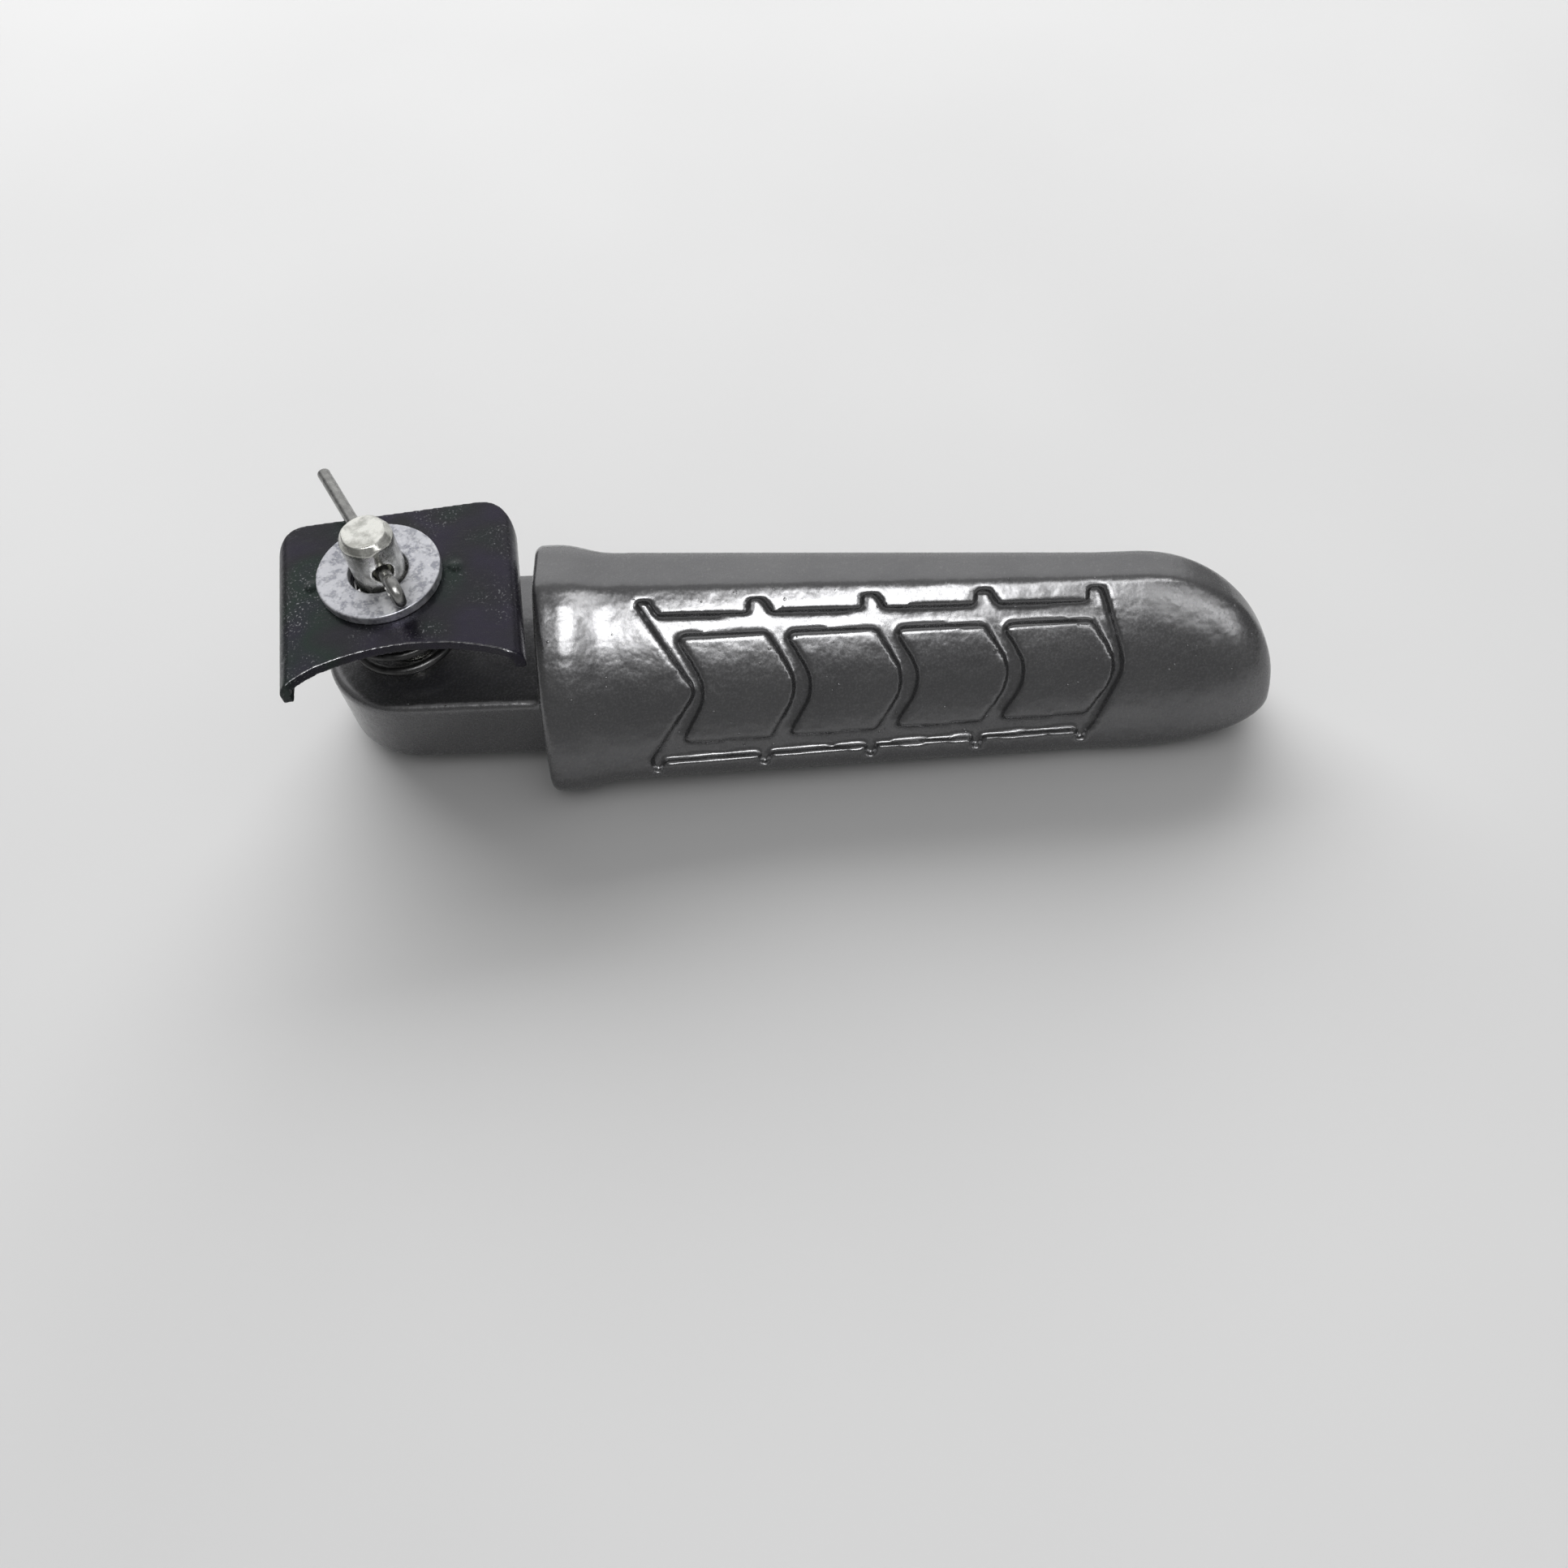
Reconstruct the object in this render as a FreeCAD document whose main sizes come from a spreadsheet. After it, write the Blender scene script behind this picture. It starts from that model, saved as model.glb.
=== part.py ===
import FreeCAD, Part
import math
import os
import re
import Sketcher
from FreeCAD import Placement, Rotation, Vector

# Rear footpeg of a motorcycle, lying on its flat side with the pivot pin upright.
# X runs along the bar from the pin to the nose, Y points away from the tread, Z runs up the pin.
# The origin is the centre of the pin's head, on the table.

doc = FreeCAD.newDocument("footpeg")

# Driving sizes, in millimetres and degrees
SIZES = {
    "pin_diameter": 8.0,
    "pin_play": 0.05,
    "pin_stub": 8.4,
    "pin_chamfer": 0.6,
    "head_diameter": 13.0,
    "head_thickness": 2.0,
    "head_chamfer": 0.5,
    "cross_hole": 3.2,
    "cross_hole_rise": 2.85,
    "eye_radius": 14.0,
    "eye_thickness": 14.6,
    "eye_edge": 1.5,
    "spring_diameter": 18.4,
    "spring_wire": 1.6,
    "spring_pitch": 3.8,
    "spring_height": 14.2,
    "plate_thickness": 1.8,
    "plate_left": 17.3,
    "plate_right": 20.3,
    "plate_rear": 13.1,
    "plate_front": 13.9,
    "plate_arch": 4.2,
    "plate_horn": 2.0,
    "plate_lip": 2.6,
    "plate_bend": 1.2,
    "plate_corner": 5.5,
    "plate_hole": 9.0,
    "plate_turn": 8.0,
    "dimple_spacing": 22.4,
    "dimple_height": 0.4,
    "washer_diameter": 19.0,
    "washer_hole": 9.2,
    "washer_thickness": 1.6,
    "washer_shift": 0.3,
    "cotter_radius": 1.0,
    "cotter_split": 0.1,
    "cotter_neck": 1.6,
    "cotter_eye": 1.6,
    "cotter_reach": 10.6,
    "cotter_leg": 20.8,
    "cotter_turn": -59.5,
    "collar_start": 22.3,
    "collar_width": 5.2,
    "collar_flank": 6.0,
    "collar_rise": 1.5,
    "collar_edge": 1.4,
    "bar_length": 143.3,
    "bar_waist": 112.0,
    "root_top": 28.9,
    "root_back": 7.7,
    "root_strip": 7.6,
    "root_front": 20.6,
    "root_spread": 6.0,
    "tip_top": 26.6,
    "tip_back": 6.0,
    "tip_strip": 5.6,
    "tip_front": 16.8,
    "tip_spread": 4.0,
    "tread_radius": 45.0,
    "tread_edge": 2.5,
    "low_edge": 3.0,
    "back_edge": 2.0,
    "nose_length": 24.5,
    "nose_front": 9.0,
    "nose_level": 6.0,
    "groove_depth": 1.4,
    "recess_start": 38.6,
    "recess_end": 112.0,
    "recess_start_top": 10.9,
    "recess_end_top": 10.3,
    "recess_start_low": 13.6,
    "recess_end_low": 11.6,
    "recess_start_point": 8.4,
    "recess_end_point": 4.6,
    "point_round": 2.5,
    "pad_count": 4,
    "pad_start": 44.3,
    "pad_end": 110.8,
    "pad_gap": 2.9,
    "top_margin": 3.2,
    "low_margin": 3.1,
    "pad_point": 5.0,
    "pad_round": 7.0,
    "pad_corner": 0.8,
    "tab_width": 2.4,
    "tab_height": 2.2,
    "start_lean": 0.6,
    "end_lean": 1.9,
    "tab_slant": 1.3,
    "dot_inset": 1.4,
    "dot_radius": 0.9,
    "dot_drop": 0.9,
}

sheet = doc.addObject("Spreadsheet::Sheet", "sizes")
for row, (alias, number) in enumerate(SIZES.items(), start=1):
    sheet.set(f"A{row}", alias)
    sheet.set(f"B{row}", str(number))
    sheet.setAlias(f"B{row}", alias)
doc.recompute()

# Levels of the stack on the pin, from the table up
EYE_TOP = "head_thickness + eye_thickness"
PLATE_BOTTOM = f"{EYE_TOP} + spring_height"
WASHER_BOTTOM = f"{PLATE_BOTTOM} + plate_thickness"
WASHER_TOP = f"{WASHER_BOTTOM} + washer_thickness"
COTTER_LEVEL = f"{WASHER_TOP} + cross_hole_rise"
PIN_TOP = f"{WASHER_TOP} + pin_stub"

# Stations along the bar
COLLAR_BACK = "collar_start + collar_width"
ROOT = f"{COLLAR_BACK} + collar_flank"
NOSE_START = "(bar_length - nose_length)"


def bound(formula):
    """Turns the size names in a formula into references to the sheet."""
    return re.sub(r"[a-z_]+", lambda word: "sizes." * (word[0] in SIZES) + word[0], formula)


def value(formula):
    """Gives the number that a formula stands for."""
    return float(sheet.evalExpression(formula))


def bind(target, path, formula):
    """Ties one property of an object to a formula of the sizes."""
    target.setExpression(path, bound(formula))


def add_body(label):
    """Starts a named body."""
    body = doc.addObject("PartDesign::Body", label)
    body.Label = label
    return body


def origin_feature(body, role):
    """Finds one of the body's own origin planes or axes."""
    return next(item for item in body.Origin.OriginFeatures if item.Role == role)


def add_sketch(body, name, role, offset="0"):
    """Adds a sketch on one of the body's origin planes, moved along the plane's normal."""
    sketch = body.newObject("Sketcher::SketchObject", name)
    sketch.AttachmentSupport = (origin_feature(body, role), "")
    sketch.MapMode = "FlatFace"
    bind(sketch, "AttachmentOffset.Base.z", offset)
    return sketch


def constrain(sketch, kind, *place, formula):
    """Adds a dimension to a sketch and ties it to a formula."""
    number = sketch.addConstraint(Sketcher.Constraint(kind, *place, value(formula)))
    bind(sketch, f"Constraints[{number}]", formula)


def fix_point(sketch, element, end, across, up):
    """Fixes a point of a sketch element, measured from the sketch's origin."""
    constrain(sketch, "DistanceX", -1, 1, element, end, formula=across)
    constrain(sketch, "DistanceY", -1, 1, element, end, formula=up)


def add_circle(sketch, across, up, radius):
    """Draws a circle."""
    circle = Part.Circle(Vector(value(across), value(up), 0), Vector(0, 0, 1), value(radius))
    element = sketch.addGeometry(circle)
    fix_point(sketch, element, 3, across, up)
    constrain(sketch, "Radius", element, formula=radius)


def arc_between(start, end, radius, turn, large):
    """Gives the arc from start to end that turns left (1) or right (-1), the short or the large way round."""
    chord = end - start
    height = math.sqrt(max(radius**2 - chord.Length**2 / 4, 0))
    left = Vector(-chord.y, chord.x, 0).normalize()
    side = turn * (-1 if large else 1)
    centre = (start + end) / 2 + left * height * side
    first, last = (start, end) if turn > 0 else (end, start)
    angles = [math.atan2(point.y - centre.y, point.x - centre.x) for point in (first, last)]
    return Part.ArcOfCircle(Part.Circle(centre, Vector(0, 0, 1), radius), *angles)


def add_outline(sketch, corners, arcs=None, closed=True):
    """Draws a chain of lines through corners given as (across, up) formulas.

    arcs makes the side after a corner round: it maps the corner's number to (radius, turn, large).
    """
    arcs = arcs or {}
    points = [Vector(value(across), value(up), 0) for across, up in corners]
    count = len(corners) if closed else len(corners) - 1
    sides = []
    for number in range(count):
        start = points[number]
        end = points[(number + 1) % len(points)]
        if number in arcs:
            radius, turn, large = arcs[number]
            element = sketch.addGeometry(arc_between(start, end, value(radius), turn, large))
            constrain(sketch, "Radius", element, formula=radius)
            sides.append((element, 1, 2) if turn > 0 else (element, 2, 1))
        else:
            element = sketch.addGeometry(Part.LineSegment(start, end))
            sides.append((element, 1, 2))
    for number, (element, first, last) in enumerate(sides):
        fix_point(sketch, element, first, *corners[number])
        if closed or number + 1 < count:
            following = sides[(number + 1) % count]
            sketch.addConstraint(Sketcher.Constraint("Coincident", element, last, following[0], following[1]))
        else:
            fix_point(sketch, element, last, *corners[-1])


def add_pad(body, sketch, length, side="One side"):
    """Pads a sketch."""
    pad = body.newObject("PartDesign::Pad", f"{sketch.Name}_pad")
    pad.Profile = sketch
    pad.SideType = side
    bind(pad, "Length", length)
    return pad


def add_pocket(body, sketch):
    """Cuts a sketch through the whole body, both ways."""
    doc.recompute()
    before = body.Shape.Volume
    pocket = body.newObject("PartDesign::Pocket", f"{sketch.Name}_cut")
    pocket.Profile = sketch
    pocket.SideType = "Symmetric"
    pocket.Type = "ThroughAll"
    doc.recompute()
    assert body.Shape.Volume < before, f"{sketch.Name} cuts nothing"
    return pocket


def add_fillet(body, radius, wanted):
    """Rounds the edges of the body's last feature that pass the test."""
    doc.recompute()
    base = body.Tip
    edges = enumerate(base.Shape.Edges, start=1)
    fillet = body.newObject("PartDesign::Fillet", f"{base.Name}_round")
    fillet.Base = (base, [f"Edge{number}" for number, edge in edges if wanted(edge)])
    bind(fillet, "Radius", radius)
    doc.recompute()
    return fillet


def lies_at(edge, axis, level):
    """Tells whether a whole edge lies at one level of the axis x, y or z."""
    return all(abs(getattr(point, axis) - level) < 1e-4 for point in edge.discretize(3))


# Section across the bar

def bar_corners(station, bottom):
    """Gives the centre and radius formulas of a section's four rounded corners.

    They go from the lower front corner by the upper front and upper back ones to the lower back one.
    """
    names = ("front", "back", "strip", "top", "spread")
    front, back, strip, top, spread = (f"{station}_{name}" for name in names)
    return (
        (f"low_edge - {front}", f"{bottom} + low_edge", "low_edge"),
        (f"{back} - {strip}", f"{top} - tread_edge", "tread_edge"),
        (f"{back} - back_edge", f"{top} - back_edge", "back_edge"),
        (f"{back} + {spread} - back_edge", f"{bottom} + back_edge", "back_edge"),
    )


def tangent_points(centre_a, radius_a, centre_b, radius_b):
    """Gives the ends of the straight side that touches two corner circles on its left."""
    along = centre_b - centre_a
    lean = (radius_a - radius_b) / along.Length
    along.normalize()
    left = Vector(-along.y, along.x, 0)
    normal = along * lean + left * math.sqrt(1 - lean**2)
    return centre_a + normal * radius_a, centre_b + normal * radius_b


def tread_points(centre_a, radius_a, centre_b, radius_b, radius):
    """Gives the centre and ends of the crowned tread that touches the two front corner circles."""
    along = centre_b - centre_a
    distance = along.Length
    along.normalize()
    reach_a = radius - radius_a
    reach_b = radius - radius_b
    share = (distance**2 + reach_a**2 - reach_b**2) / (2 * distance)
    right = Vector(along.y, -along.x, 0)
    centre = centre_a + along * share + right * math.sqrt(reach_a**2 - share**2)
    ends = [centre + (corner - centre).normalize() * radius for corner in (centre_a, centre_b)]
    return centre, ends[0], ends[1]


def shrink_corner(corner, share):
    """Draws a corner in towards the nose's axis, to a share of its size."""
    across, up, radius = corner
    return (
        f"({across} + nose_front) * {share} - nose_front",
        f"({up} - nose_level) * {share} + nose_level",
        f"{radius} * {share}",
    )


def add_section(body, name, station, corners, grow="0", tread="tread_radius"):
    """Draws the bar's rounded section at a station, grown outwards or inwards by one amount all round."""
    sketch = add_sketch(body, name, "YZ_Plane", station)
    centres = [Vector(value(across), value(up), 0) for across, up, radius in corners]
    radii = [f"{radius} + {grow}" for across, up, radius in corners]
    tread = f"{tread} + {grow}"
    sizes = [value(radius) for radius in radii]
    tread_centre, *tread_ends = tread_points(centres[0], sizes[0], centres[1], sizes[1], value(tread))
    sides = [tread_ends]
    for number in (1, 2, 3):
        following = (number + 1) % 4
        sides.append(tangent_points(centres[number], sizes[number], centres[following], sizes[following]))
    normal = Vector(0, 0, 1)

    def arc(centre, radius, start, end):
        angles = [math.atan2(point.y - centre.y, point.x - centre.x) for point in (start, end)]
        return Part.ArcOfCircle(Part.Circle(centre, normal, radius), *angles)

    corner_arcs = []
    for number in range(4):
        arrival = sides[number - 1][1]
        departure = sides[number][0]
        element = sketch.addGeometry(arc(centres[number], sizes[number], departure, arrival))
        corner_arcs.append(element)
    side_elements = [sketch.addGeometry(arc(tread_centre, value(tread), tread_ends[1], tread_ends[0]))]
    for start, end in sides[1:]:
        side_elements.append(sketch.addGeometry(Part.LineSegment(start, end)))
    for number, element in enumerate(corner_arcs):
        first, last = (2, 1) if number == 0 else (1, 2)
        following = corner_arcs[(number + 1) % 4]
        side = side_elements[number]
        sketch.addConstraint(Sketcher.Constraint("Tangent", element, 1, side, first))
        sketch.addConstraint(Sketcher.Constraint("Tangent", side, last, following, 2))
    for element, (across, up, radius), grown in zip(corner_arcs, corners, radii):
        fix_point(sketch, element, 3, across, up)
        constrain(sketch, "Radius", element, formula=grown)
    constrain(sketch, "Radius", side_elements[0], formula=tread)
    return sketch


def add_loft(body, sections, ruled=True):
    """Joins sections by straight-sided stretches, or by one smooth sweep."""
    loft = body.newObject("PartDesign::AdditiveLoft", f"{sections[0].Name}_loft")
    loft.Profile = sections[0]
    loft.Sections = sections[1:]
    loft.Ruled = ruled
    doc.recompute()
    return loft


root_corners = bar_corners("root", "collar_rise")
tip_corners = bar_corners("tip", "0")
NOSE_ANGLES = (15, 30, 45, 58, 70, 80)

# Bar: collar, taper and nose
bar = add_body("bar")
collar = add_section(bar, "collar", "collar_start", root_corners, "collar_rise")
add_pad(bar, collar, "collar_width")
add_fillet(bar, "collar_edge", lambda edge: lies_at(edge, "x", value("collar_start")))
collar_rim = add_section(bar, "collar_rim", COLLAR_BACK, root_corners, "collar_rise")
bar_root = add_section(bar, "bar_root", ROOT, root_corners)
bar_tip = add_section(bar, "bar_tip", "bar_waist", tip_corners)
add_loft(bar, (collar_rim, bar_root, bar_tip))
add_pad(bar, bar_tip, f"{NOSE_START} - bar_waist")
nose_sections = [add_section(bar, "nose_root", NOSE_START, tip_corners)]
for angle in NOSE_ANGLES:
    station = f"{NOSE_START} + nose_length * sin({angle})"
    shrunk = [shrink_corner(corner, f"cos({angle})") for corner in tip_corners]
    crown = f"tread_radius * cos({angle})"
    nose_sections.append(add_section(bar, f"nose_{angle}", station, shrunk, tread=crown))
add_loft(bar, nose_sections, ruled=False)

# Tongue with its round eye
tongue = add_body("tongue")
shank = add_sketch(tongue, "shank", "XY_Plane", "head_thickness")
shank_outline = (
    ("0", "-eye_radius"),
    (COLLAR_BACK, "-eye_radius"),
    (COLLAR_BACK, "eye_radius"),
    ("0", "eye_radius"),
)
add_outline(shank, shank_outline)
add_pad(tongue, shank, "eye_thickness")
eye = add_sketch(tongue, "eye", "XY_Plane", "head_thickness")
add_circle(eye, "0", "0", "eye_radius")
add_pad(tongue, eye, "eye_thickness")
bore = add_sketch(tongue, "bore", "XY_Plane")
add_circle(bore, "0", "0", "pin_diameter / 2 + pin_play")


def on_eye_rim(edge):
    """Tells whether an edge runs round the top or bottom of the tongue, leaving out its root."""
    level = lies_at(edge, "z", value("head_thickness")) or lies_at(edge, "z", value(EYE_TOP))
    return level and not lies_at(edge, "x", value(COLLAR_BACK))


add_fillet(tongue, "eye_edge", on_eye_rim)
add_pocket(tongue, bore)

# Tread: a shallow recess of even depth with chevron pads left standing in it
TREAD_RUN = "((root_back - root_strip) + (root_front - low_edge))"
TREAD_RISE = "((root_top - tread_edge) - (collar_rise + low_edge))"


def tread_middle(station, bottom):
    """Gives the point half way between the centres of a section's two front corners."""
    lower, upper = bar_corners(station, bottom)[:2]
    return f"(({lower[0]} + {upper[0]}) / 2)", f"(({lower[1]} + {upper[1]}) / 2)"


ROOT_Y, ROOT_Z = tread_middle("root", "collar_rise")
TIP_Y, TIP_Z = tread_middle("tip", "0")
TREAD_FALL = f"(({TIP_Y} - {ROOT_Y}) * {TREAD_RISE} - ({TIP_Z} - {ROOT_Z}) * {TREAD_RUN})"
TREAD_DROP = f"({TREAD_FALL} / sqrt({TREAD_RUN}^2 + {TREAD_RISE}^2))"
TREAD_LENGTH = f"(bar_waist - ({ROOT}))"

floor = add_body("tread_floor")
floor_root = add_section(floor, "floor_root", ROOT, root_corners, "-groove_depth")
floor_tip = add_section(floor, "floor_tip", "bar_waist", tip_corners, "-groove_depth")
add_loft(floor, (floor_root, floor_tip))
add_pad(floor, floor_tip, f"{NOSE_START} - bar_waist")

recess = add_body("recess")
recess.Placement = Placement(Vector(), Rotation(Vector(1, 0, 0), 1))
bind(recess, "Placement.Base.y", ROOT_Y)
bind(recess, "Placement.Base.z", ROOT_Z)
bind(recess, "Placement.Rotation.Angle", f"atan2({TREAD_RISE}; {TREAD_RUN})")
REACH = "2 * (low_edge + tread_edge)"
RECESS_LENGTH = "(recess_end - recess_start)"


def add_tread_sketch(name):
    """Adds a sketch on the plane through the centres of the tread's edge rounds. It sinks towards the nose."""
    sketch = add_sketch(recess, name, "XY_Plane", f"{TREAD_DROP} * ({ROOT}) / {TREAD_LENGTH}")
    sketch.AttachmentOffset = Placement(Vector(), Rotation(Vector(0, 1, 0), 1))
    bind(sketch, "AttachmentOffset.Rotation.Angle", f"atan2({TREAD_DROP}; {TREAD_LENGTH})")
    return sketch


def recess_edge(station, side):
    """Gives the height of the recess's top or low edge at a station along the bar."""
    share = f"({station} - recess_start) / {RECESS_LENGTH}"
    return f"(recess_start_{side} + (recess_end_{side} - recess_start_{side}) * {share})"


def recess_middle(station):
    """Gives the height half way between the recess's two edges."""
    return f"({recess_edge(station, 'top')} - {recess_edge(station, 'low')}) / 2"


def chevron(left, right, point):
    """Gives the outline of a chevron pad that keeps its margins inside the recess's long edges."""
    return (
        (left, f"low_margin - {recess_edge(left, 'low')}"),
        (right, f"low_margin - {recess_edge(right, 'low')}"),
        (f"{right} + {point}", recess_middle(right)),
        (right, f"{recess_edge(right, 'top')} - top_margin"),
        (left, f"{recess_edge(left, 'top')} - top_margin"),
        (f"{left} + {point}", recess_middle(left)),
    )


def tab_top(station):
    """Gives the height of a tab's upper end."""
    return f"{recess_edge(station, 'top')} + tab_height"


# The recess's slanting ends run on into its first and last tab
FIRST_TAB = "(recess_start - start_lean)"
LAST_TAB = "(recess_end - end_lean)"
field = add_tread_sketch("field")
field_outline = (
    ("recess_start", f"-{recess_edge('recess_start', 'low')}"),
    ("recess_end", f"-{recess_edge('recess_end', 'low')}"),
    ("recess_end + recess_end_point", recess_middle("recess_end")),
    (f"{LAST_TAB} + tab_width", tab_top(LAST_TAB)),
    (LAST_TAB, tab_top(LAST_TAB)),
    (LAST_TAB, recess_edge(LAST_TAB, "top")),
    (f"{FIRST_TAB} + tab_width + tab_slant", recess_edge(FIRST_TAB, "top")),
    (f"{FIRST_TAB} + tab_width", tab_top(FIRST_TAB)),
    (FIRST_TAB, tab_top(FIRST_TAB)),
    ("recess_start + recess_start_point", recess_middle("recess_start")),
)
add_outline(field, field_outline)
add_pad(recess, field, REACH)

# Tabs above the recess with one slanting side, and short slots with round ends below it
pad_count = int(SIZES["pad_count"])
TAB_PITCH = f"(({LAST_TAB} - {FIRST_TAB}) / pad_count)"
tabs = add_tread_sketch("tabs")
for number in range(1, pad_count):
    left = f"({FIRST_TAB} + {TAB_PITCH} * {number})"
    right = f"{left} + tab_width"
    inner = f"{recess_edge(left, 'top')} - tab_height"
    tab_outline = (
        (left, inner),
        (f"{right} + 2 * tab_slant", inner),
        (right, tab_top(left)),
        (left, tab_top(left)),
    )
    add_outline(tabs, tab_outline)
slots = add_tread_sketch("slots")
dots = add_tread_sketch("dots")
for number in range(pad_count + 1):
    station = f"(recess_start + dot_inset + ({RECESS_LENGTH} - 2 * dot_inset) * {number} / pad_count)"
    level = f"-{recess_edge(station, 'low')} - dot_drop"
    slot_outline = (
        (f"{station} - dot_radius", level),
        (f"{station} + dot_radius", level),
        (f"{station} + dot_radius", f"{level} + dot_drop + dot_radius / 2"),
        (f"{station} - dot_radius", f"{level} + dot_drop + dot_radius / 2"),
    )
    add_outline(slots, slot_outline)
    add_circle(dots, station, level, "dot_radius")
for sketch in (tabs, slots, dots):
    add_pad(recess, sketch, REACH)

PAD_PITCH = "((pad_end - pad_start + pad_gap) / pad_count)"
chevrons = add_tread_sketch("chevrons")
for number in range(pad_count):
    left = f"(pad_start + {PAD_PITCH} * {number})"
    right = f"(pad_start + {PAD_PITCH} * {number + 1} - pad_gap)"
    add_outline(chevrons, chevron(left, right, "pad_point"))
add_pocket(recess, chevrons)


def upright(edge):
    """Tells whether an edge runs straight through the recess, from the tread inwards."""
    return edge.Curve.TypeId == "Part::GeomLine" and abs(edge.Curve.Direction.z) > 0.99


def at_point(edge):
    """Tells whether an edge stands at the point of a chevron, along the middle of the tread."""
    return upright(edge) and abs(edge.CenterOfMass.y) < value("tab_width")


def at_first_point(edge):
    """Tells whether an edge stands at the point of the recess's first end."""
    return at_point(edge) and edge.CenterOfMass.x < value("recess_start + recess_start_point + tab_width")


def at_pad_corner(edge):
    """Tells whether an edge stands at one of the four outer corners of a chevron pad."""
    if not upright(edge):
        return False
    spot = edge.CenterOfMass
    high = value(f"{recess_edge(str(spot.x), 'top')} - top_margin")
    low = value(f"low_margin - {recess_edge(str(spot.x), 'low')}")
    inside = value("pad_start - pad_gap") < spot.x < value("pad_end + pad_gap")
    return inside and min(abs(spot.y - high), abs(spot.y - low)) < value("pad_corner") / 4


add_fillet(recess, "point_round", at_first_point)
add_fillet(recess, "pad_round", at_point)
add_fillet(recess, "pad_corner", at_pad_corner)

shallow = doc.addObject("Part::Cut", "shallow_recess")
shallow.Base = recess
shallow.Tool = floor
casting_blank = doc.addObject("Part::Fuse", "casting_blank")
casting_blank.Base = bar
casting_blank.Tool = tongue
casting = doc.addObject("Part::Cut", "peg_casting")
casting.Base = casting_blank
casting.Tool = shallow

# Clevis pin, drilled across for the cotter
pin = add_body("clevis_pin")
bind(pin, "Placement.Rotation.Angle", "cotter_turn")
pin_half = add_sketch(pin, "pin_half", "XZ_Plane")
pin_outline = (
    ("0", "0"),
    ("head_diameter / 2 - head_chamfer", "0"),
    ("head_diameter / 2", "head_chamfer"),
    ("head_diameter / 2", "head_thickness"),
    ("pin_diameter / 2", "head_thickness"),
    ("pin_diameter / 2", f"{PIN_TOP} - pin_chamfer"),
    ("pin_diameter / 2 - pin_chamfer", PIN_TOP),
    ("0", PIN_TOP),
)
add_outline(pin_half, pin_outline)
turning = pin.newObject("PartDesign::Revolution", "pin_turning")
turning.Profile = pin_half
turning.ReferenceAxis = (origin_feature(pin, "Z_Axis"), [""])
turning.Angle = 360
drilling = add_sketch(pin, "drilling", "YZ_Plane")
add_circle(drilling, "0", COTTER_LEVEL, "cross_hole / 2")
add_pocket(pin, drilling)

# Flat washer, hanging a little off centre on the pin
washer = add_body("flat_washer")
bind(washer, "Placement.Base.x", "-washer_shift")
ring = add_sketch(washer, "ring", "XY_Plane", WASHER_BOTTOM)
add_circle(ring, "0", "0", "washer_diameter / 2")
add_circle(ring, "0", "0", "washer_hole / 2")
add_pad(washer, ring, "washer_thickness")

# Pressed plate: a flat top with two lips bent down, an arched front and two dimples
plate = add_body("swivel_plate")
bind(plate, "Placement.Base.z", PLATE_BOTTOM)
bind(plate, "Placement.Rotation.Angle", "plate_turn")
OUTER_BEND = "(plate_bend + plate_thickness)"
strip = add_sketch(plate, "strip", "XZ_Plane")
strip_outline = (
    ("-plate_left", "-plate_lip"),
    ("-plate_left", "-plate_bend"),
    (f"{OUTER_BEND} - plate_left", "plate_thickness"),
    (f"plate_right - {OUTER_BEND}", "plate_thickness"),
    ("plate_right", "-plate_bend"),
    ("plate_right", "-plate_lip"),
    ("plate_right - plate_thickness", "-plate_lip"),
    ("plate_right - plate_thickness", "-plate_bend"),
    (f"plate_right - {OUTER_BEND}", "0"),
    (f"{OUTER_BEND} - plate_left", "0"),
    ("plate_thickness - plate_left", "-plate_bend"),
    ("plate_thickness - plate_left", "-plate_lip"),
)
strip_arcs = {
    1: (OUTER_BEND, -1, False),
    3: (OUTER_BEND, -1, False),
    7: ("plate_bend", 1, False),
    9: ("plate_bend", 1, False),
}
add_outline(strip, strip_outline, strip_arcs)
pressing = add_pad(plate, strip, "plate_front + plate_arch", "Two sides")
bind(pressing, "Length2", "plate_rear")

trim = add_sketch(plate, "trim", "XY_Plane")
HORN_TIP = "-(plate_front + plate_arch)"
ARCH_LEFT = "(plate_horn - plate_left)"
ARCH_RIGHT = "(plate_right - plate_horn)"
ARCH_HALF = f"(({ARCH_RIGHT} - {ARCH_LEFT}) / 2)"
ARCH_RADIUS = f"({ARCH_HALF}^2 + plate_arch^2) / (2 * plate_arch)"
arch_outline = (
    (ARCH_LEFT, HORN_TIP),
    (ARCH_RIGHT, HORN_TIP),
    (ARCH_RIGHT, f"{HORN_TIP} - plate_horn"),
    (ARCH_LEFT, f"{HORN_TIP} - plate_horn"),
)
add_outline(trim, arch_outline, {0: (ARCH_RADIUS, -1, False)})
for side, turn in (("-plate_left", -1), ("plate_right", 1)):
    inward = "+" if turn < 0 else "-"
    outward = "-" if turn < 0 else "+"
    corner_outline = (
        (side, "plate_rear - plate_corner"),
        (f"{side} {inward} plate_corner", "plate_rear"),
        (f"{side} {inward} plate_corner", "plate_rear + plate_horn"),
        (f"{side} {outward} plate_horn", "plate_rear + plate_horn"),
        (f"{side} {outward} plate_horn", "plate_rear - plate_corner"),
    )
    add_outline(trim, corner_outline, {0: ("plate_corner", turn, False)})
add_circle(trim, "0", "0", "plate_hole / 2")
add_pocket(plate, trim)

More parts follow.
